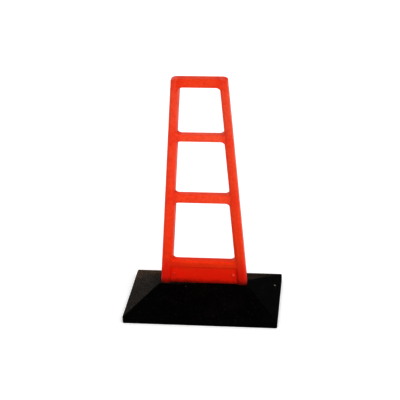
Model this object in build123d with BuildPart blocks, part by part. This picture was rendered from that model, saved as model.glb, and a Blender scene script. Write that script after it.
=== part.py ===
from build123d import *
import os
from math import atan, cos, radians, sin, sqrt

os.makedirs("parts", exist_ok=True)

# Lane separator: a tapering ladder frame that plugs onto two spigots on a hipped
# rubber base. Millimetres, +Z up, front towards -Y, origin at the middle of the
# base's underside.

# ---------------------------------------------------------------- dimensions
overall_height = 750.0

# Rubber base: an upright rim, then four slopes up to a long narrow flat.
base_length = 480.0
base_width = 318.0
base_rim = 20.5
base_top = 69.5
base_corner = 5.0
base_rim_round = 2.5
base_foot_round = 1.0
flat_length = 284.0
flat_width = 43.0
flat_corner = 2.5
flat_round = 1.5

# Recess under the base, and the plate that lies in its roof.
recess_length = 274.0
recess_width = 46.0
recess_depth = 13.5
recess_corner = 8.0
plate_length = 271.0
plate_width = 43.0
plate_thickness = 5.0
plate_corner = 6.5

# Stiles: half-widths of the frame at the base's flat and at the top, and the width
# of a stile beside each window, which steps up at every cross member.
outer_foot = 137.3
outer_top = 83.8
width_upper = 25.4
width_middle = 28.1
width_lower = 32.2
width_skirt = 34.4
stile_depth = 34.0
stile_draft = 4.0
bend_in = 3.3
outer_round_foot = 10.0
outer_round_top = 8.5
inner_round_foot = 14.0
inner_round_top = 10.0
back_round = 3.0
stile_wall = 3.5
insert_gap = 0.15

# Caps in the tops of the stiles, a little below the top rail and falling away outwards.
cap_top = 749.6
cap_thickness = 7.7
cap_round = 1.8
crown_width = 15.0
crown_radius = 25.5
cap_seam = 0.4
cap_inset = 0.1
cap_plug = 8.0

# Cross members: lower and upper edge of each, their depths and edge rounding.
top_rail_low, top_rail_high = 722.5, 750.0
upper_rung_low, upper_rung_high = 549.8, 572.1
lower_rung_low, lower_rung_high = 346.9, 374.5
bottom_rail_low, bottom_rail_high = 126.0, 147.3
rail_depth = 32.0
rail_round = 5.0
rung_depth = 28.0
rung_round = 7.0
rung_back_round = 2.0
seat_round = 2.0
flare = 16.0
flare_angle = 55.0

# Tenons of the cross members inside the stiles.
tenon_depth = 14.0
tenon_gap = 0.15

# Countersunk screws that hold the tenons.
screw_head_r = 4.4
screw_head_t = 2.6
screw_r = 2.4
screw_length = 30.0
screw_gap = 0.06

# Skirt below the bottom rail: two panels either side of the rail's tongue and ears.
skirt_face = 11.5
skirt_core = 8.5
skirt_gap = 0.6
tongue_low = 113.0
ear_low = 73.0
ear_length = 19.0
skirt_bolt_x = 94.0
skirt_bolt_z = 101.0
skirt_bolt_r = 2.5
skirt_head_r = 4.6
skirt_head_t = 2.8
skirt_nut_flat = 8.0
skirt_nut_t = 4.0

# Spigots, the sockets that take them, and their bolts.
spigot_x = 117.5
spigot_r = 6.7
spigot_height = 48.0
spigot_flange_r = 9.5
spigot_flange_t = 4.0
socket_top = 122.0
socket_r = 7.0
socket_depth = 49.5
socket_counter_r = 10.0
socket_counter_t = 4.6
bolt_r = 4.0
bolt_length = 80.0
bolt_flat = 13.0
bolt_head_t = 5.3
washer_r = 8.0
washer_t = 1.6
thread_depth = 20.0


# ------------------------------------------------------------- frame outline
# heights where the stiles' inner sides bend, behind the ends of the cross members
bends = [
    bottom_rail_low + bend_in, bottom_rail_high - bend_in,
    lower_rung_low + bend_in, lower_rung_high - bend_in,
    upper_rung_low + bend_in, upper_rung_high - bend_in,
]


def x_outer(z):
    """Half-width of the frame over the stiles at height z."""
    return outer_foot + (outer_top - outer_foot) * (z - base_top) / (overall_height - base_top)


def stile_width(z):
    """Width of a stile at height z: even beside a window, stepping behind each cross member."""
    widths = [width_skirt, width_lower, width_lower, width_middle, width_middle, width_upper]
    steps = list(zip(bends, widths))
    if z <= bends[0]:
        return width_skirt
    for (z_low, w_low), (z_high, w_high) in zip(steps, steps[1:]):
        if z <= z_high:
            return w_low + (w_high - w_low) * (z - z_low) / (z_high - z_low)
    return width_upper


def x_inner(z, y=0.0):
    """Half-width between the stiles at height z and depth y; the opening narrows to the back."""
    return x_outer(z) - stile_width(z) - stile_draft * y / stile_depth


def stile_section(z, inset):
    """Section of the right stile at height z, drawn in by inset: full rounding on the front edges."""
    share = (z - base_top) / (overall_height - base_top)
    outer_radius = outer_round_foot + (outer_round_top - outer_round_foot) * share - inset
    inner_radius = inner_round_foot + (inner_round_top - inner_round_foot) * share - inset
    half = stile_depth / 2 - inset
    with BuildSketch(Plane.XY.offset(z)) as section:
        with BuildLine():
            Polyline(
                (x_inner(z, -half) + inset, -half),
                (x_outer(z) - inset, -half),
                (x_outer(z) - inset, half),
                (x_inner(z, half) + inset, half),
                close=True,
            )
        make_face()
        fillet(section.vertices().group_by(Axis.Y)[0].sort_by(Axis.X)[-1], outer_radius)
        fillet(section.vertices().group_by(Axis.Y)[0].sort_by(Axis.X)[0], inner_radius)
        fillet(section.vertices().group_by(Axis.Y)[-1], max(back_round - inset, 0.6))
    return section.sketch


outer_lean = atan((outer_foot - outer_top) / (overall_height - base_top))
stile_end = cap_top - cap_thickness


# Each cross member: lower edge, upper edge, depth, edge rounding, tenon's lower and
# upper edge, height of its screws, and whether it flares below and above.
members = {
    "top_rail": (
        top_rail_low, top_rail_high, rail_depth, rail_round, 724.0, 732.5, 728.2, True, False,
    ),
    "upper_rung": (
        upper_rung_low, upper_rung_high, rung_depth, rung_round, 553.2, 567.6, 560.4, True, True,
    ),
    "lower_rung": (
        lower_rung_low, lower_rung_high, rung_depth, rung_round, 351.0, 369.4, 360.2, True, True,
    ),
    "bottom_rail": (
        bottom_rail_low, bottom_rail_high, rung_depth, rung_round, 130.0, 143.4, 136.7, False, True,
    ),
}


# ------------------------------------------------------------------- screws
def rail_screw(height, gap):
    """Countersunk screw into the right stile at this height, grown by gap."""
    face = Plane(
        origin=(x_outer(height), 0, height),
        x_dir=(0, 1, 0),
        z_dir=(cos(outer_lean), 0, sin(outer_lean)),
    )
    with BuildPart() as screw:
        with BuildSketch(face):
            Circle(screw_head_r + gap)
        with BuildSketch(face.offset(-screw_head_t)):
            Circle(screw_r + gap)
        loft(ruled=True)
        with BuildSketch(face.offset(-screw_head_t)):
            Circle(screw_r + gap)
        extrude(amount=-(screw_length - screw_head_t + gap))
        if gap == 0:
            chamfer(screw.edges().sort_by(Axis(face.origin, face.z_dir))[0], 1.6)
            with BuildSketch(face):
                Rectangle(4.6, 1.1)
                Rectangle(1.1, 4.6)
            extrude(amount=-1.2, mode=Mode.SUBTRACT)
    return screw.part


# ------------------------------------------------------------------- stiles
# Outside of the right stile as a full solid, and its mirror image, used to cope
# the ends of the cross members.
with BuildPart() as right_outside:
    loft([stile_section(z, 0) for z in [base_top, *bends, overall_height]], ruled=True)

with BuildPart() as left_outside:
    mirror(right_outside.part, about=Plane.YZ)

with BuildPart() as right_stile:
    loft([stile_section(z, 0) for z in [base_top, *bends, stile_end]], ruled=True)
    # hollow, open at both ends
    loft(
        [stile_section(z, stile_wall) for z in [base_top - 5, *bends, stile_end + 5]],
        ruled=True,
        mode=Mode.SUBTRACT,
    )
    # mortises for the tenons, through the inner wall
    for low, high, depth, edge_round, tenon_low, tenon_high, at, below, above in members.values():
        with BuildSketch(Plane.XZ):
            with BuildLine():
                Polyline(
                    (x_inner(tenon_low) - 6, tenon_low - tenon_gap),
                    (x_inner(tenon_low) + stile_wall + 3, tenon_low - tenon_gap),
                    (x_inner(tenon_high) + stile_wall + 3, tenon_high + tenon_gap),
                    (x_inner(tenon_high) - 6, tenon_high + tenon_gap),
                    close=True,
                )
            make_face()
        extrude(amount=tenon_depth / 2 + tenon_gap, both=True, mode=Mode.SUBTRACT)
        add(rail_screw(at, screw_gap), mode=Mode.SUBTRACT)
right_stile.part.label = "right_stile"
export_step(right_stile.part, "parts/right_stile.step")

with BuildPart() as left_stile:
    mirror(right_stile.part, about=Plane.YZ)
left_stile.part.label = "left_stile"
export_step(left_stile.part, "parts/left_stile.step")


# ----------------------------------------------------------------- top caps
with BuildPart() as right_top_cap:
    loft([stile_section(z, cap_inset) for z in (stile_end, cap_top)], ruled=True)
    # towards the outer side the top falls away in a wide curve
    crown_x = x_outer(cap_top) - crown_width
    crown_end = crown_radius * sin(radians(45))
    with BuildSketch(Plane.XZ):
        with BuildLine():
            CenterArc((crown_x, cap_top - crown_radius), crown_radius, 90, -45)
            Polyline(
                (crown_x + crown_end, cap_top - crown_radius + crown_end),
                (crown_x + crown_end, cap_top + 5),
                (crown_x, cap_top + 5),
                (crown_x, cap_top),
            )
        make_face()
    extrude(amount=stile_depth, both=True, mode=Mode.SUBTRACT)
    flat = right_top_cap.faces().sort_by(Axis.Z)[-1]
    crown = right_top_cap.faces().filter_by(GeomType.CYLINDER).sort_by(Axis.Z)[-1]
    rim = [
        edge
        for face in (flat, crown)
        for edge in face.edges()
        if edge.geom_type != GeomType.LINE or abs(edge.center().X - crown_x) > 0.01
    ]
    fillet(rim, cap_round)
    chamfer(right_top_cap.faces().sort_by(Axis.Z)[0].edges(), cap_seam)
    loft(
        [stile_section(z, stile_wall + insert_gap) for z in (stile_end - cap_plug, stile_end)],
        ruled=True,
    )
right_top_cap.part.label = "right_top_cap"
export_step(right_top_cap.part, "parts/right_top_cap.step")

with BuildPart() as left_top_cap:
    mirror(right_top_cap.part, about=Plane.YZ)
left_top_cap.part.label = "left_top_cap"
export_step(left_top_cap.part, "parts/left_top_cap.step")


# ------------------------------------------------------------- foot sockets
with BuildPart() as right_foot_socket:
    loft([stile_section(z, stile_wall + insert_gap) for z in (base_top, socket_top)], ruled=True)
    with BuildSketch(Plane.XY.offset(base_top)):
        with Locations((spigot_x, 0)):
            Circle(socket_r)
    extrude(amount=socket_depth, mode=Mode.SUBTRACT)
    with BuildSketch(Plane.XY.offset(base_top)):
        with Locations((spigot_x, 0)):
            Circle(socket_counter_r)
    extrude(amount=socket_counter_t, mode=Mode.SUBTRACT)
right_foot_socket.part.label = "right_foot_socket"
export_step(right_foot_socket.part, "parts/right_foot_socket.step")

with BuildPart() as left_foot_socket:
    mirror(right_foot_socket.part, about=Plane.YZ)
left_foot_socket.part.label = "left_foot_socket"
export_step(left_foot_socket.part, "parts/left_foot_socket.step")


# ------------------------------------------------------------ cross members
def cross_member(name):
    """Rail or rung with flared, coped ends and a tenon into each stile."""
    low, high, depth, edge_round, tenon_low, tenon_high, at, below, above = members[name]
    reach = flare * sin(radians(flare_angle))
    rise = flare * (1 - cos(radians(flare_angle)))
    mid = sin(radians(45))
    buried = 9.0
    overlap = 25.0
    front = -depth / 2
    # where each flare leaves the straight edge, on the front
    top_start = x_inner(high + rise, front) - reach if above else x_inner(high, front)
    low_start = x_inner(low - rise, front) - reach if below else x_inner(low, front)
    end_x = max(x_inner(low, front), x_inner(high, front)) + buried
    top_end = high + flare if above else high
    low_end = low - flare if below else low
    # towards the back the ends slant inwards, as the stiles' inner sides do
    slant = stile_draft / stile_depth
    with BuildPart() as member:
        # right half and a little more, then its mirror image
        with BuildSketch(Plane.XZ.offset(-front)):
            with BuildLine():
                if above:
                    Line((-overlap, high), (top_start, high))
                    ThreePointArc(
                        (top_start, high),
                        (top_start + flare * mid, high + flare * (1 - mid)),
                        (top_start + flare, top_end),
                    )
                    Line((top_start + flare, top_end), (end_x, top_end))
                else:
                    Line((-overlap, high), (end_x, high))
                Line((end_x, top_end), (end_x, low_end))
                if below:
                    Line((end_x, low_end), (low_start + flare, low_end))
                    ThreePointArc(
                        (low_start + flare, low_end),
                        (low_start + flare * mid, low - flare * (1 - mid)),
                        (low_start, low),
                    )
                    Line((low_start, low), (-overlap, low))
                else:
                    Line((end_x, low), (-overlap, low))
                Line((-overlap, low), (-overlap, high))
            make_face()
        extrude(amount=depth * sqrt(1 + slant**2), dir=(-slant, 1, 0))
        mirror(about=Plane.YZ)

        def long_edges(side):
            """Edges along the straight and the flares, on the front (-1) or the back (1)."""
            return [
                edge
                for edge in member.edges()
                if abs(edge.center().Y - side * depth / 2) < 0.01
                and abs(edge.tangent_at(0.5).Z) < 0.9
            ]

        # full rounding on the front, but little where the bottom rail sits on the skirt
        middle_z = (low + high) / 2
        low_round = seat_round if name == "bottom_rail" else edge_round
        fillet([edge for edge in long_edges(-1) if edge.center().Z > middle_z], edge_round)
        fillet([edge for edge in long_edges(-1) if edge.center().Z < middle_z], low_round)
        fillet(long_edges(1), rung_back_round)
        add(right_outside.part, mode=Mode.SUBTRACT)
        add(left_outside.part, mode=Mode.SUBTRACT)
        if name == "bottom_rail":
            # tongue that fills the top of the gap between the skirt panels
            with BuildSketch(Plane.XZ):
                with BuildLine():
                    Polyline(
                        (-x_inner(tongue_low, skirt_core) + 0.3, tongue_low),
                        (x_inner(tongue_low, skirt_core) - 0.3, tongue_low),
                        (x_inner(low + 4, skirt_core) - 0.3, low + 4),
                        (-x_inner(low + 4, skirt_core) + 0.3, low + 4),
                        close=True,
                    )
                make_face()
            extrude(amount=skirt_core - 0.2, both=True)
            # ear at each end of it, which the skirt bolts go through
            for side in (1, -1):
                with BuildSketch(Plane.XZ):
                    with BuildLine():
                        Polyline(
                            (side * (x_inner(ear_low, skirt_core) - 0.3), ear_low),
                            (side * (x_inner(ear_low) - ear_length), ear_low),
                            (side * (x_inner(ear_low) - ear_length), tongue_low + 6),
                            (side * (x_inner(tongue_low + 6, skirt_core) - 0.3), tongue_low + 6),
                            close=True,
                        )
                    make_face()
                extrude(amount=skirt_core - 0.2, both=True)
            with BuildSketch(Plane.XZ):
                with Locations((skirt_bolt_x, skirt_bolt_z), (-skirt_bolt_x, skirt_bolt_z)):
                    Circle(skirt_bolt_r + 0.1)
            extrude(amount=skirt_core + 1, both=True, mode=Mode.SUBTRACT)
    # keep only the stretch between the stiles
    middle = member.part.solids().sort_by(SortBy.VOLUME)[-1]
    with BuildPart() as finished:
        add(middle)
        for side in (1, -1):
            with BuildSketch(Plane.XZ):
                with BuildLine():
                    Polyline(
                        (side * (x_inner(tenon_low) - 6), tenon_low),
                        (side * (x_outer(tenon_low) - stile_wall - 0.3), tenon_low),
                        (side * (x_outer(tenon_high) - stile_wall - 0.3), tenon_high),
                        (side * (x_inner(tenon_high) - 6), tenon_high),
                        close=True,
                    )
                make_face()
            extrude(amount=tenon_depth / 2, both=True)
        bore = rail_screw(at, screw_gap)
        add(bore, mode=Mode.SUBTRACT)
        add(mirror(bore, about=Plane.YZ, mode=Mode.PRIVATE), mode=Mode.SUBTRACT)
    return finished.part


for member_name in members:
    member_part = cross_member(member_name)
    member_part.label = member_name
    export_step(member_part, "parts/" + member_name + ".step")


# ------------------------------------------------------------- rail screws
with BuildPart() as rail_screws:
    for low, high, depth, edge_round, tenon_low, tenon_high, at, below, above in members.values():
        right_screw = rail_screw(at, 0)
        add(right_screw)
        add(mirror(right_screw, about=Plane.YZ, mode=Mode.PRIVATE))
rail_screws.part.label = "rail_screws"
export_step(rail_screws.part, "parts/rail_screws.step")


# -------------------------------------------------------------- skirt panels
panel_low = base_top + skirt_gap
panel_high = bottom_rail_low


def skirt_panel(face):
    """Panel on the side of the skirt that face points to, with its ends coped to the stiles."""
    with BuildPart() as panel:
        with BuildSketch(face):
            with BuildLine():
                Polyline(
                    (-x_inner(panel_low) - 10, panel_low),
                    (x_inner(panel_low) + 10, panel_low),
                    (x_inner(panel_high) + 10, panel_high),
                    (-x_inner(panel_high) - 10, panel_high),
                    close=True,
                )
            make_face()
            with Locations((skirt_bolt_x, skirt_bolt_z), (-skirt_bolt_x, skirt_bolt_z)):
                Circle(skirt_bolt_r + 0.1, mode=Mode.SUBTRACT)
        extrude(amount=skirt_face - skirt_core)
        add(right_outside.part, mode=Mode.SUBTRACT)
        add(left_outside.part, mode=Mode.SUBTRACT)
    return panel.part


front_skirt_panel = skirt_panel(Plane.XZ.offset(skirt_core))
front_skirt_panel.label = "front_skirt_panel"
export_step(front_skirt_panel, "parts/front_skirt_panel.step")

rear_skirt_panel = skirt_panel(Plane.XZ.offset(-skirt_face))
rear_skirt_panel.label = "rear_skirt_panel"
export_step(rear_skirt_panel, "parts/rear_skirt_panel.step")


# ------------------------------------------------- bolts through the skirt
with BuildPart() as skirt_bolts:
    for side in (1, -1):
        with BuildSketch(Plane.XZ.offset(skirt_face)):
            with Locations((side * skirt_bolt_x, skirt_bolt_z)):
                Circle(skirt_head_r)
        extrude(amount=skirt_head_t)
    fillet(skirt_bolts.faces().group_by(Axis.Y)[0].edges(), 2.2)
    for side in (1, -1):
        with BuildSketch(Plane.XZ.offset(skirt_face)):
            with Locations((side * skirt_bolt_x, skirt_bolt_z)):
                Circle(skirt_bolt_r)
        extrude(amount=-(2 * skirt_face + skirt_nut_t + 1.0))
skirt_bolts.part.label = "skirt_bolts"
export_step(skirt_bolts.part, "parts/skirt_bolts.step")

with BuildPart() as skirt_nuts:
    for side in (1, -1):
        with BuildSketch(Plane.XZ.offset(-skirt_face)):
            with Locations((side * skirt_bolt_x, skirt_bolt_z)):
                RegularPolygon(skirt_nut_flat / 2, 6, major_radius=False, rotation=30)
                Circle(skirt_bolt_r + 0.05, mode=Mode.SUBTRACT)
        extrude(amount=-skirt_nut_t)
skirt_nuts.part.label = "skirt_nuts"
export_step(skirt_nuts.part, "parts/skirt_nuts.step")


# --------------------------------------------------------------------- base
with BuildPart() as rubber_base:
    with BuildSketch(Plane.XY):
        RectangleRounded(base_length, base_width, base_corner)
    extrude(amount=base_rim)
    with BuildSketch(Plane.XY.offset(base_rim)):
        RectangleRounded(base_length, base_width, base_corner)
    with BuildSketch(Plane.XY.offset(base_top)):
        RectangleRounded(flat_length, flat_width, flat_corner)
    loft(ruled=True)
    # moulded edges: the rim's upper edge, the flat's edge and the foot
    rim_edges = [
        edge
        for edge in rubber_base.edges()
        if all(abs(corner.Z - base_rim) < 0.01 for corner in edge.vertices())
    ]
    fillet(rim_edges, base_rim_round)
    fillet(rubber_base.faces().sort_by(Axis.Z)[-1].edges(), flat_round)
    chamfer(rubber_base.faces().sort_by(Axis.Z)[0].edges(), base_foot_round)
    with BuildSketch(Plane.XY):
        RectangleRounded(recess_length, recess_width, recess_corner)
    extrude(amount=recess_depth, mode=Mode.SUBTRACT)
    with BuildSketch(Plane.XY):
        with Locations((spigot_x, 0), (-spigot_x, 0)):
            Circle(bolt_r + 0.3)
    extrude(amount=base_top, mode=Mode.SUBTRACT)
rubber_base.part.label = "rubber_base"
export_step(rubber_base.part, "parts/rubber_base.step")

plate_low = recess_depth - plate_thickness
with BuildPart() as backing_plate:
    with BuildSketch(Plane.XY.offset(plate_low)):
        RectangleRounded(plate_length, plate_width, plate_corner)
        with Locations((spigot_x, 0), (-spigot_x, 0)):
            Circle(bolt_r + 0.4, mode=Mode.SUBTRACT)
    extrude(amount=plate_thickness)
backing_plate.part.label = "backing_plate"
export_step(backing_plate.part, "parts/backing_plate.step")


# ------------------------------------------------------------------ spigots
with BuildPart() as right_spigot:
    with BuildSketch(Plane.XY.offset(base_top)):
        with Locations((spigot_x, 0)):
            Circle(spigot_r)
    extrude(amount=spigot_height)
    chamfer(right_spigot.edges().group_by(Axis.Z)[-1], 1.5)
    with BuildSketch(Plane.XY.offset(base_top)):
        with Locations((spigot_x, 0)):
            Circle(spigot_flange_r)
    extrude(amount=spigot_flange_t)
    with BuildSketch(Plane.XY.offset(base_top)):
        with Locations((spigot_x, 0)):
            Circle(bolt_r + 0.05)
    extrude(amount=thread_depth, mode=Mode.SUBTRACT)
right_spigot.part.label = "right_spigot"
export_step(right_spigot.part, "parts/right_spigot.step")

with BuildPart() as left_spigot:
    mirror(right_spigot.part, about=Plane.YZ)
left_spigot.part.label = "left_spigot"
export_step(left_spigot.part, "parts/left_spigot.step")

washer_low = plate_low - washer_t
with BuildPart() as spigot_washers:
    with BuildSketch(Plane.XY.offset(washer_low)):
        with Locations((spigot_x, 0), (-spigot_x, 0)):
            Circle(washer_r)
            Circle(bolt_r + 0.2, mode=Mode.SUBTRACT)
    extrude(amount=washer_t)
spigot_washers.part.label = "spigot_washers"
export_step(spigot_washers.part, "parts/spigot_washers.step")

with BuildPart() as spigot_bolts:
    with BuildSketch(Plane.XY.offset(washer_low)):
        with Locations((spigot_x, 0), (-spigot_x, 0)):
            RegularPolygon(bolt_flat / 2, 6, major_radius=False)
    extrude(amount=-bolt_head_t)
    with BuildSketch(Plane.XY.offset(washer_low)):
        with Locations((spigot_x, 0), (-spigot_x, 0)):
            Circle(bolt_r)
    extrude(amount=bolt_length)
    chamfer(spigot_bolts.edges().group_by(Axis.Z)[-1], 0.8)
spigot_bolts.part.label = "spigot_bolts"
export_step(spigot_bolts.part, "parts/spigot_bolts.step")
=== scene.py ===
import math

import bpy
from mathutils import Matrix, Vector

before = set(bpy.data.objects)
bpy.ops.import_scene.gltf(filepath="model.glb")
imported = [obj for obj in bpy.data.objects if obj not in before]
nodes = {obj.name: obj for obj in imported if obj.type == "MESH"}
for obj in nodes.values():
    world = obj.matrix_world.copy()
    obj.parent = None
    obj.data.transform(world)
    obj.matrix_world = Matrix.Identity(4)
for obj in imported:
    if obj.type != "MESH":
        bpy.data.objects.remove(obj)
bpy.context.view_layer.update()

scene = bpy.context.scene


# ------------------------------------------------------------ shader helpers
class Shader:
    """A material under construction: short calls that add and link its nodes."""

    def __init__(self, name):
        self.material = bpy.data.materials.new(name)
        self.material.use_nodes = True
        self.tree = self.material.node_tree
        self.tree.nodes.clear()
        self.out = self.tree.nodes.new("ShaderNodeOutputMaterial")
        self.bsdf = self.tree.nodes.new("ShaderNodeBsdfPrincipled")
        self.tree.links.new(self.bsdf.outputs["BSDF"], self.out.inputs["Surface"])
        self.coords = self.tree.nodes.new("ShaderNodeTexCoord").outputs["Object"]

    def put(self, socket, value):
        if hasattr(value, "is_linked"):
            self.tree.links.new(value, socket)
        else:
            socket.default_value = value

    def place(self, offset=(0, 0, 0), scale=(1, 1, 1), turn=(0, 0, 0)):
        node = self.tree.nodes.new("ShaderNodeMapping")
        self.put(node.inputs["Vector"], self.coords)
        node.inputs["Location"].default_value = offset
        node.inputs["Rotation"].default_value = turn
        node.inputs["Scale"].default_value = scale
        return node.outputs["Vector"]

    def noise(self, vector, scale, detail=2.0, rough=0.5, distort=0.0, colour=False):
        node = self.tree.nodes.new("ShaderNodeTexNoise")
        self.put(node.inputs["Vector"], vector)
        node.inputs["Scale"].default_value = scale
        node.inputs["Detail"].default_value = detail
        node.inputs["Roughness"].default_value = rough
        node.inputs["Distortion"].default_value = distort
        return node.outputs["Color" if colour else "Fac"]

    def cells(self, vector, scale, kind="F1", out="Distance", jitter=1.0):
        node = self.tree.nodes.new("ShaderNodeTexVoronoi")
        node.feature = kind
        self.put(node.inputs["Vector"], vector)
        node.inputs["Scale"].default_value = scale
        node.inputs["Randomness"].default_value = jitter
        return node.outputs[out]

    def span(self, value, low, high, to_low=0.0, to_high=1.0, smooth=False):
        node = self.tree.nodes.new("ShaderNodeMapRange")
        node.interpolation_type = "SMOOTHSTEP" if smooth else "LINEAR"
        node.clamp = True
        self.put(node.inputs["Value"], value)
        node.inputs["From Min"].default_value = low
        node.inputs["From Max"].default_value = high
        node.inputs["To Min"].default_value = to_low
        node.inputs["To Max"].default_value = to_high
        return node.outputs["Result"]

    def math(self, kind, a, b=0.0, clamp=False):
        node = self.tree.nodes.new("ShaderNodeMath")
        node.operation = kind
        node.use_clamp = clamp
        self.put(node.inputs[0], a)
        self.put(node.inputs[1], b)
        return node.outputs[0]

    def mix(self, share, a, b, how="MIX"):
        node = self.tree.nodes.new("ShaderNodeMix")
        node.data_type = "RGBA"
        node.blend_type = how
        self.put(node.inputs[0], share)
        self.put(node.inputs[6], a if hasattr(a, "is_linked") else (*a, 1.0))
        self.put(node.inputs[7], b if hasattr(b, "is_linked") else (*b, 1.0))
        return node.outputs[2]

    def axis(self, which, vector=None):
        node = self.tree.nodes.new("ShaderNodeSeparateXYZ")
        self.put(node.inputs[0], vector or self.coords)
        return node.outputs["XYZ".index(which)]

    def away(self, point):
        """The distance from a point of the row frame."""
        node = self.tree.nodes.new("ShaderNodeVectorMath")
        node.operation = "DISTANCE"
        self.put(node.inputs[0], self.coords)
        node.inputs[1].default_value = point
        return node.outputs["Value"]

    def facing(self, which):
        """The surface normal's part along one of the row frame's axes."""
        geometry = self.tree.nodes.new("ShaderNodeNewGeometry")
        node = self.tree.nodes.new("ShaderNodeSeparateXYZ")
        self.put(node.inputs[0], geometry.outputs["True Normal"])
        return node.outputs["XYZ".index(which)]

    def rounded(self, radius, samples=6):
        node = self.tree.nodes.new("ShaderNodeBevel")
        node.samples = samples
        node.inputs["Radius"].default_value = radius
        return node.outputs["Normal"]

    def edges(self, radius, samples=6):
        """1 along sharp edges, 0 on flat faces."""
        geometry = self.tree.nodes.new("ShaderNodeNewGeometry")
        node = self.tree.nodes.new("ShaderNodeVectorMath")
        node.operation = "DOT_PRODUCT"
        self.put(node.inputs[0], self.rounded(radius, samples))
        self.put(node.inputs[1], geometry.outputs["True Normal"])
        return self.span(node.outputs["Value"], 0.995, 0.80, 0.0, 1.0)

    def hollows(self, distance, samples=8, deep=0.35, open_at=0.9):
        """1 in corners and crevices, 0 in the open."""
        node = self.tree.nodes.new("ShaderNodeAmbientOcclusion")
        node.samples = samples
        node.inputs["Distance"].default_value = distance
        return self.span(node.outputs["AO"], deep, open_at, 1.0, 0.0)

    def bump(self, height, distance, strength=1.0, normal=None):
        node = self.tree.nodes.new("ShaderNodeBump")
        node.inputs["Strength"].default_value = strength
        node.inputs["Distance"].default_value = distance
        self.put(node.inputs["Height"], height)
        if normal is not None:
            self.put(node.inputs["Normal"], normal)
        return node.outputs["Normal"]

    def set(self, **sockets):
        for name, value in sockets.items():
            self.put(self.bsdf.inputs[name.replace("_", " ")], value)
        return self.material


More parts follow.
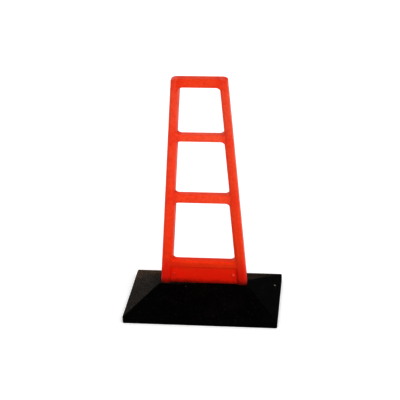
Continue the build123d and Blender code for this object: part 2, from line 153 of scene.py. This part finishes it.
# ----------------------------------------------------------------- materials
def moulded_plastic(
    name, seed, along="Z", plain=(0.93, 0.053, 0.0036), paler_part=(0.87, 0.097, 0.040),
    foot_shade_tone=(0.80, 0.0105, 0.0004), foot_lit_right_tone=None, gloss=0.14, contact_shadow_lift=0.0, joints=(), painted_right_light=0.0
):
    """Red-orange moulded plastic: faded towards the top, with flow streaks, fine grain and scuffs,
    painted shade at the foot, in the corners and beside the joints, and a painted contact shadow along the very foot."""
    s = Shader(name)
    home = s.place(offset=(seed, seed * 1.7, seed * 0.6))
    height = s.axis("Z")
    stretch = (1, 1, 0.06) if along == "Z" else (0.06, 1, 1)
    streaks = s.noise(s.place(offset=(seed, -seed, seed), scale=stretch), 120, 3, 0.6)
    clouds = s.noise(home, 11, 3, 0.55)
    mottle = s.noise(home, 95, 3, 0.6)
    grain = s.noise(home, 620, 2, 0.6)
    # the sun has faded the upper part, a little unevenly
    uneven = s.math("ADD", height, s.span(clouds, 0.25, 0.75, -0.07, 0.07))
    colour = s.mix(s.span(uneven, 0.18, 0.67), plain, paler_part)
    colour = s.mix(s.span(streaks, 0.35, 0.7, 0.0, 0.30), colour, (0.91, 0.088, 0.018))
    colour = s.mix(s.span(mottle, 0.42, 0.72, 0.0, 0.52), colour, (0.74, 0.034, 0.003))
    colour = s.mix(s.span(grain, 0.5, 0.8, 0.0, 0.20), colour, (0.94, 0.115, 0.030))
    # painted shade on the stiles beside the cross members
    for level in joints:
        off = s.math("ABSOLUTE", s.math("SUBTRACT", height, level))
        painted_joint_shade = s.math("MULTIPLY", s.span(off, 0.006, 0.036, 1.0, 0.0, smooth=True), s.span(mottle, 0.3, 0.7, 0.22, 0.46))
        colour = s.mix(painted_joint_shade, colour, (0.82, 0.026, 0.002))
    if painted_right_light:
        # painted light: the right half lighter, as the light falls from the right
        colour = s.mix(s.span(s.axis("X"), -0.025, 0.035, 0.0, painted_right_light, smooth=True), colour, (0.98, 0.175, 0.085))
    if along == "X":
        # and painted shade at the cross members' own ends, where they meet the stiles, more so on the left
        out = s.math("ABSOLUTE", s.math("SUBTRACT", s.axis("X"), 0.002))
        out = s.math("ADD", out, s.math("MULTIPLY", height, 0.0786))
        painted_end_shade = s.math("MULTIPLY", s.span(out, 0.097, 0.117, smooth=True), s.span(mottle, 0.3, 0.7, 0.30, 0.52))
        colour = s.mix(painted_end_shade, colour, (0.80, 0.026, 0.002))
    # darker, deeper red towards the foot: painted shade, where the black base takes away the light bouncing up from
    # the floor
    edge = s.math("ADD", height, s.span(s.noise(home, 34, 4, 0.6), 0.25, 0.75, -0.018, 0.018))
    low = s.span(edge, 0.098, 0.172, 1.0, 0.0, smooth=True)
    # on the bottom rail the foot tone turns lighter towards the right end: painted light from the right
    if foot_lit_right_tone:
        foot_shade_tone = s.mix(s.span(s.axis("X"), -0.09, 0.09), foot_shade_tone, foot_lit_right_tone)
    colour = s.mix(s.math("MULTIPLY", low, 0.9), colour, foot_shade_tone)
    # a near-black painted contact shadow along the very foot, where the frame meets the base
    wear_and_shadow_noise = s.noise(home, 60, 4, 0.7)
    tread = s.math("ADD", height, s.span(wear_and_shadow_noise, 0.3, 0.7, -0.004, 0.004))
    # thicker towards the left foot
    tread = s.math("ADD", tread, s.math("MULTIPLY", s.axis("X"), 0.034))
    # on the right stile the painted contact shadow reaches higher
    tread = s.math("SUBTRACT", tread, contact_shadow_lift)
    painted_contact_shadow = s.span(tread, 0.062, 0.090, 0.9, 0.0, smooth=True)
    colour = s.mix(painted_contact_shadow, colour, (0.10, 0.003, 0.001))
    # rubbed edges go paler, and scuffs cross the faces in short strokes
    rubbed = s.math("MULTIPLY", s.edges(0.0022), s.span(wear_and_shadow_noise, 0.42, 0.66))
    colour = s.mix(s.math("MULTIPLY", rubbed, 0.50), colour, (0.95, 0.22, 0.08))
    strokes = s.noise(s.place(offset=(seed, 0, -seed), scale=(9, 9, 150), turn=(0.2, 0.5, 0.3)), 2.6, 2, 0.5)
    where = s.span(s.noise(home, 14, 2, 0.5), 0.56, 0.68)
    scuffs = s.math("MULTIPLY", s.span(strokes, 0.67, 0.74), where)
    scuffs = s.math("MULTIPLY", scuffs, s.math("SUBTRACT", 1.0, s.math("MULTIPLY", low, 0.85)))
    colour = s.mix(s.math("MULTIPLY", scuffs, 0.35), colour, (0.93, 0.20, 0.08))
    # painted shade in the corners and crevices, a little stronger near the foot
    corners = s.hollows(0.011, 10, 0.45, 0.95)
    painted_crevice_shade = s.math("MULTIPLY", corners, s.span(s.noise(home, 45, 4, 0.65), 0.3, 0.75, 0.4, 1.0))
    painted_crevice_shade = s.math("MULTIPLY", painted_crevice_shade, s.math("ADD", s.math("MULTIPLY", low, 0.12), 0.62))
    colour = s.mix(painted_crevice_shade, colour, (0.22, 0.008, 0.002))
    shine = s.span(s.noise(home, 38, 3, 0.6), 0.3, 0.7, 0.34, 0.48)
    shine = s.math("ADD", shine, s.math("MULTIPLY", s.math("ADD", rubbed, scuffs), 0.18))
    pimples = s.noise(home, 900, 2, 0.55)
    peel = s.noise(home, 150, 2, 0.5)
    sinks = s.noise(home, 22, 1, 0.4)
    normal = s.bump(pimples, 0.00022, 0.55, s.rounded(0.0009))
    normal = s.bump(peel, 0.0006, 0.32, normal)
    normal = s.bump(sinks, 0.0016, 0.22, normal)
    normal = s.bump(s.math("MULTIPLY", scuffs, -1.0), 0.0002, 0.5, normal)
    return s.set(Base_Color=colour, Roughness=shine, Normal=normal, Specular_IOR_Level=gloss, IOR=1.49)


def crumb_rubber(name, seed):
    """Black pressed crumb rubber: bonded granules, a dull skin, dusty worn edges."""
    s = Shader(name)
    home = s.place(offset=(seed, seed, seed))
    warped = s.mix(0.006, home, s.noise(home, 140, 2, 0.5, colour=True), "LINEAR_LIGHT")
    granules = s.cells(warped, 330)
    tone = s.axis("X", s.cells(warped, 330, out="Color"))
    clouds = s.noise(home, 9, 4, 0.6)
    fine = s.noise(home, 800, 2, 0.6)
    colour = s.mix(s.span(clouds, 0.3, 0.7), (0.0006, 0.0005, 0.0005), (0.0016, 0.0014, 0.0013))
    colour = s.mix(s.span(tone, 0.55, 1.0, 0.0, 0.5), colour, (0.0042, 0.0036, 0.0032))
    colour = s.mix(s.span(tone, 0.972, 0.988, 0.0, 0.5), colour, (0.024, 0.021, 0.019))
    # here and there a grain of pale grit pressed into the skin
    spread = s.place(offset=(seed * 3, seed, 0.37))
    dots = s.span(s.cells(spread, 44), 0.040, 0.024)
    chosen = s.span(s.axis("Y", s.cells(spread, 44, out="Color")), 0.80, 0.84)
    colour = s.mix(s.math("MULTIPLY", s.math("MULTIPLY", dots, chosen), 0.8), colour, (0.16, 0.145, 0.13))
    # and two larger flecks of it, with ragged rims
    ragged = s.span(s.noise(home, 420, 2, 0.5), 0.3, 0.7, -0.0007, 0.0007)
    for spot, size, share in (((0.2216, 0.0621, 0.0297), 0.0039, 0.92), ((-0.0549, -0.0299, 0.0665), 0.0025, 0.22)):
        off = s.math("ADD", s.away(spot), ragged)
        colour = s.mix(s.span(off, size, size - 0.001, 0.0, share), colour, (0.30, 0.265, 0.26))
    worn = s.math("MULTIPLY", s.edges(0.004), s.span(s.noise(home, 70, 4, 0.7), 0.42, 0.68))
    colour = s.mix(s.math("MULTIPLY", worn, 0.45), colour, (0.030, 0.024, 0.019))
    # thin brown dust where the slopes are flattest
    film = s.math("MULTIPLY", s.span(s.facing("Z"), 0.2, 0.98), s.span(s.noise(home, 16, 5, 0.65), 0.50, 0.80))
    colour = s.mix(s.math("MULTIPLY", film, 0.05), colour, (0.060, 0.048, 0.038))
    # more of it, in specks, towards the back left corner and in patches on the rest of the back: dust, partly a
    # painted sheen where these slopes catch the light at a grazing angle
    inwards = s.math("ADD", s.span(s.axis("Y"), -0.02, 0.06, 0.38, 0.56), s.span(s.axis("Y"), 0.065, 0.11, 0.0, 0.44))
    corner = s.math("MULTIPLY", s.span(s.axis("X"), 0.02, -0.19), inwards)
    corner = s.math("MULTIPLY", corner, s.span(s.facing("Y"), -0.28, -0.06))
    drift = s.noise(home, 13, 4, 0.6)
    along = s.math("ADD", s.axis("X"), s.span(drift, 0.3, 0.7, -0.03, 0.03))
    patches = s.math("MULTIPLY", s.span(drift, 0.34, 0.64, 0.16, 0.54, smooth=True), s.span(along, 0.155, 0.240, 1.0, 0.08))
    behind = s.math("MULTIPLY", s.span(s.facing("Y"), 0.15, 0.30), patches)
    specks = s.span(s.noise(home, 250, 3, 0.75), 0.40, 0.62)
    dust_and_sheen = s.math("MULTIPLY", s.math("MAXIMUM", corner, behind), specks)
    # none of it stays on the upright rim
    dust_and_sheen = s.math("MULTIPLY", dust_and_sheen, s.span(s.facing("Z"), 0.3, 0.7))
    brown = s.math("MAXIMUM", s.span(s.facing("Y"), 0.05, 0.30), s.span(s.axis("Y"), 0.04, 0.12))
    dust_and_sheen_tone = s.mix(brown, (0.150, 0.122, 0.098), (0.205, 0.130, 0.078))
    colour = s.mix(s.math("MULTIPLY", dust_and_sheen, 0.85), colour, dust_and_sheen_tone)
    shine = s.span(s.noise(home, 26, 3, 0.6), 0.3, 0.7, 0.42, 0.56)
    shine = s.math("ADD", shine, s.math("MULTIPLY", worn, 0.15))
    # the dusty back is duller
    shine = s.math("ADD", shine, s.span(s.facing("Y"), 0.15, 0.36, 0.0, 0.42))
    normal = s.bump(granules, 0.0011, 0.50, s.rounded(0.0018))
    normal = s.bump(fine, 0.0003, 0.45, normal)
    normal = s.bump(s.noise(home, 30, 2, 0.5), 0.003, 0.20, normal)
    return s.set(Base_Color=colour, Roughness=shine, Normal=normal, Specular_IOR_Level=0.012, IOR=1.45)


def socket_plastic(name, seed):
    """Dark moulded plastic of the inserts in the stile feet."""
    s = Shader(name)
    home = s.place(offset=(seed, seed, seed))
    colour = s.mix(s.noise(home, 30, 3, 0.6), (0.018, 0.018, 0.020), (0.040, 0.040, 0.042))
    rubbed = s.math("MULTIPLY", s.edges(0.0015), s.span(s.noise(home, 90, 3, 0.6), 0.4, 0.65))
    colour = s.mix(s.math("MULTIPLY", rubbed, 0.5), colour, (0.12, 0.12, 0.12))
    normal = s.bump(s.noise(home, 700, 2, 0.5), 0.0002, 0.5, s.rounded(0.0006))
    return s.set(Base_Color=colour, Roughness=s.span(s.noise(home, 60, 2), 0.3, 0.7, 0.4, 0.58), Normal=normal)


def zinc(name, seed):
    """Zinc-plated steel: faint crystals, patchy tarnish, white bloom in the corners."""
    s = Shader(name)
    home = s.place(offset=(seed, seed, seed))
    crystals = s.axis("X", s.cells(home, 420, out="Color"))
    colour = s.mix(crystals, (0.50, 0.51, 0.52), (0.66, 0.66, 0.65))
    bloom = s.math("MULTIPLY", s.hollows(0.004), s.span(s.noise(home, 220, 4, 0.7), 0.4, 0.7))
    colour = s.mix(s.math("MULTIPLY", bloom, 0.6), colour, (0.42, 0.40, 0.37))
    tarnish = s.span(s.noise(home, 70, 4, 0.65), 0.45, 0.75, 0.0, 0.35)
    colour = s.mix(tarnish, colour, (0.36, 0.33, 0.28))
    shine = s.span(s.noise(home, 160, 3, 0.6), 0.3, 0.7, 0.28, 0.46)
    normal = s.bump(s.noise(home, 1400, 2, 0.5), 0.0001, 0.4, s.rounded(0.0004))
    return s.set(Base_Color=colour, Metallic=1.0, Roughness=shine, Normal=normal)


def painted_steel(name, seed):
    """Bolt heads painted with the frame's colour, chipped to steel at the rim; the right-hand head carries a painted
    glint.
    """
    s = Shader(name)
    home = s.place(offset=(seed, seed, seed))
    colour = s.mix(s.noise(home, 160, 3, 0.6), (0.80, 0.020, 0.001), (0.88, 0.026, 0.002))
    # the right-hand head paler: a painted glint
    paler_part = s.math("MULTIPLY", s.span(s.axis("X"), -0.02, 0.02), s.span(s.noise(home, 420, 2, 0.5), 0.30, 0.55, 0.45, 1.0))
    colour = s.mix(paler_part, colour, (0.91, 0.100, 0.043))
    chips = s.math("MULTIPLY", s.edges(0.0012), s.span(s.noise(home, 600, 3, 0.6), 0.52, 0.6))
    colour = s.mix(chips, colour, (0.35, 0.30, 0.27))
    normal = s.bump(s.noise(home, 900, 2, 0.5), 0.00015, 0.4, s.rounded(0.0005))
    return s.set(
        Base_Color=colour, Roughness=s.span(s.noise(home, 300, 2), 0.3, 0.7, 0.26, 0.40), Normal=normal,
        Specular_IOR_Level=0.25,
    )


def dress(piece, material):
    piece.data.materials.clear()
    piece.data.materials.append(material)
    for face in piece.data.polygons:
        face.material_index = 0


joint_levels = (0.137, 0.361, 0.561, 0.736)
# each copy's foot tone below is the colour of the painted shade at its foot
upright = moulded_plastic("stile_plastic", 0.31, "Z", joints=joint_levels)
# the right stile: its painted contact shadow reaches higher up the foot
upright_b = moulded_plastic(
    "stile_plastic_b", 1.83, "Z", plain=(0.84, 0.053, 0.0034), paler_part=(0.84, 0.100, 0.042),
    foot_shade_tone=(0.77, 0.0112, 0.0004), contact_shadow_lift=0.0088, joints=joint_levels,
)
across = moulded_plastic("rail_plastic", 2.47, "X", paler_part=(0.87, 0.079, 0.023), gloss=0.07)
# the rungs: painted light on their right halves
across_b = moulded_plastic("rung_plastic", 3.19, "X", paler_part=(0.94, 0.128, 0.053), painted_right_light=0.17)
# the bottom rail: its foot tone is lighter at the right end, painted light
across_c = moulded_plastic(
    "bottom_rail_plastic", 3.77, "X", foot_shade_tone=(0.77, 0.022, 0.0010), foot_lit_right_tone=(0.87, 0.046, 0.0022), gloss=0.10,
)
sheet_plastic = moulded_plastic("skirt_plastic", 4.41, "X", foot_shade_tone=(0.95, 0.018, 0.0005), gloss=0.09)
rubber = crumb_rubber("crumb_rubber", 0.73)
insert_plastic = socket_plastic("insert_plastic", 0.9)
plated = zinc("zinc_plate", 0.5)
paint = painted_steel("bolt_paint", 0.21)

finish_of = {
    "left_stile": upright,
    "right_stile": upright_b,
    "left_top_cap": upright_b,
    "right_top_cap": upright,
    "top_rail": across,
    "upper_rung": across_b,
    "lower_rung": across_b,
    "bottom_rail": across_c,
    "front_skirt_panel": sheet_plastic,
    "rear_skirt_panel": sheet_plastic,
    "rubber_base": rubber,
    "left_foot_socket": insert_plastic,
    "right_foot_socket": insert_plastic,
    "skirt_bolts": paint,
    "skirt_nuts": plated,
    "rail_screws": plated,
    "backing_plate": plated,
    "left_spigot": plated,
    "right_spigot": plated,
    "spigot_bolts": plated,
    "spigot_washers": plated,
}
for node, material in finish_of.items():
    dress(nodes[node], material)


# --------------------------------------------------------------------- stage
def floor_material():
    s = Shader("studio_floor")
    tone = s.mix(s.noise(s.place(), 3.0, 2, 0.5), (0.90, 0.90, 0.90), (0.92, 0.92, 0.92))
    # a light table: it glows a little, so that shadows on it stay faint
    return s.set(
        Base_Color=tone, Roughness=0.9, Specular_IOR_Level=0.05,
        Emission_Color=(1.0, 1.0, 1.0, 1.0), Emission_Strength=0.27,
    )


mesh = bpy.data.meshes.new("studio_floor")
half = 60.0
mesh.from_pydata(
    [(-half, -half, -0.0004), (half, -half, -0.0004), (half, half, -0.0004), (-half, half, -0.0004)],
    [],
    [(0, 1, 2, 3)],
)
floor = bpy.data.objects.new("studio_floor", mesh)
scene.collection.objects.link(floor)
mesh.materials.append(floor_material())

# a white tent: brightest in front, to the right and overhead, dimmer behind
world = bpy.data.worlds.new("studio")
scene.world = world
world.use_nodes = True
tree = world.node_tree
background = tree.nodes["Background"]
background.inputs["Color"].default_value = (1.0, 1.0, 1.0, 1.0)
direction = tree.nodes.new("ShaderNodeTexCoord")
split = tree.nodes.new("ShaderNodeSeparateXYZ")
tree.links.new(direction.outputs["Generated"], split.inputs[0])


def ramp(value, low, high, to_low, to_high):
    node = tree.nodes.new("ShaderNodeMapRange")
    node.interpolation_type = "SMOOTHSTEP"
    for socket, number in zip(("From Min", "From Max", "To Min", "To Max"), (low, high, to_low, to_high)):
        node.inputs[socket].default_value = number
    tree.links.new(value, node.inputs["Value"])
    return node.outputs["Result"]


def join(kind, a, b):
    node = tree.nodes.new("ShaderNodeMath")
    node.operation = kind
    tree.links.new(a, node.inputs[0])
    tree.links.new(b, node.inputs[1])
    return node.outputs[0]


side_x, side_y, side_z = split.outputs
tent = join("MULTIPLY", ramp(side_y, -0.3, 0.4, 0.93, 0.36), ramp(side_x, -0.85, 0.15, 0.08, 1.08))
tent = join("MULTIPLY", tent, ramp(side_z, 0.65, 1.00, 1.0, 2.5))
# low at the back stands a card, white on the left and dark on the right
card = ramp(side_x, -0.28, 0.12, 1.45, 0.08)
share = join("MULTIPLY", ramp(side_y, 0.0, 0.35, 0.0, 1.0), ramp(side_z, 0.38, 0.66, 1.0, 0.0))


def blend(share, a, b):
    node = tree.nodes.new("ShaderNodeMix")
    node.data_type = "FLOAT"
    tree.links.new(share, node.inputs[0])
    tree.links.new(a, node.inputs[2])
    if hasattr(b, "is_linked"):
        tree.links.new(b, node.inputs[3])
    else:
        node.inputs[3].default_value = b
    return node.outputs[0]


# the floor's far end sweeps up into a thin white band
sweep = blend(ramp(side_z, 0.04, 0.11, 1.0, 0.0), blend(share, tent, card), 1.0)
tree.links.new(sweep, background.inputs["Strength"])


def aim(thing, target):
    thing.rotation_euler = (Vector(target) - thing.location).to_track_quat("-Z", "Y").to_euler()


# one large soft light, in front and a little to the right
sky = bpy.data.lights.new("overhead", "SUN")
sky.energy = 0.30
sky.angle = math.radians(35)
lamp = bpy.data.objects.new("overhead", sky)
scene.collection.objects.link(lamp)
lamp_turn, lamp_lift = math.radians(58), math.radians(50)
lamp.location = 5 * Vector((
    math.sin(lamp_turn) * math.cos(lamp_lift), -math.cos(lamp_turn) * math.cos(lamp_lift), math.sin(lamp_lift)
))
aim(lamp, (0, 0, 0))


# -------------------------------------------------------------------- camera
turn, lift, roll = math.radians(6.811), math.radians(24.361), math.radians(-1.451)
reach = 3.6826
focal_px = 1193.4
target = Vector((-0.00523, 0.0, 0.35226))
back = Vector((math.sin(turn) * math.cos(lift), -math.cos(turn) * math.cos(lift), math.sin(lift)))
right = (-back).cross(Vector((0, 0, 1))).normalized()
up = right.cross(-back)
right, up = math.cos(roll) * right + math.sin(roll) * up, -math.sin(roll) * right + math.cos(roll) * up
half_pixel = 0.5 * reach / focal_px
eye = target + back * reach - right * half_pixel + up * half_pixel
data = bpy.data.cameras.new("camera")
data.sensor_width = 36.0
data.lens = focal_px * 36.0 / 400
data.clip_end = 200
camera = bpy.data.objects.new("camera", data)
scene.collection.objects.link(camera)
camera.matrix_world = Matrix((
    (right.x, up.x, back.x, eye.x),
    (right.y, up.y, back.y, eye.y),
    (right.z, up.z, back.z, eye.z),
    (0, 0, 0, 1),
))
scene.camera = camera

scene.view_settings.view_transform = "Standard"
scene.view_settings.look = "None"
scene.view_settings.gamma = 0.8
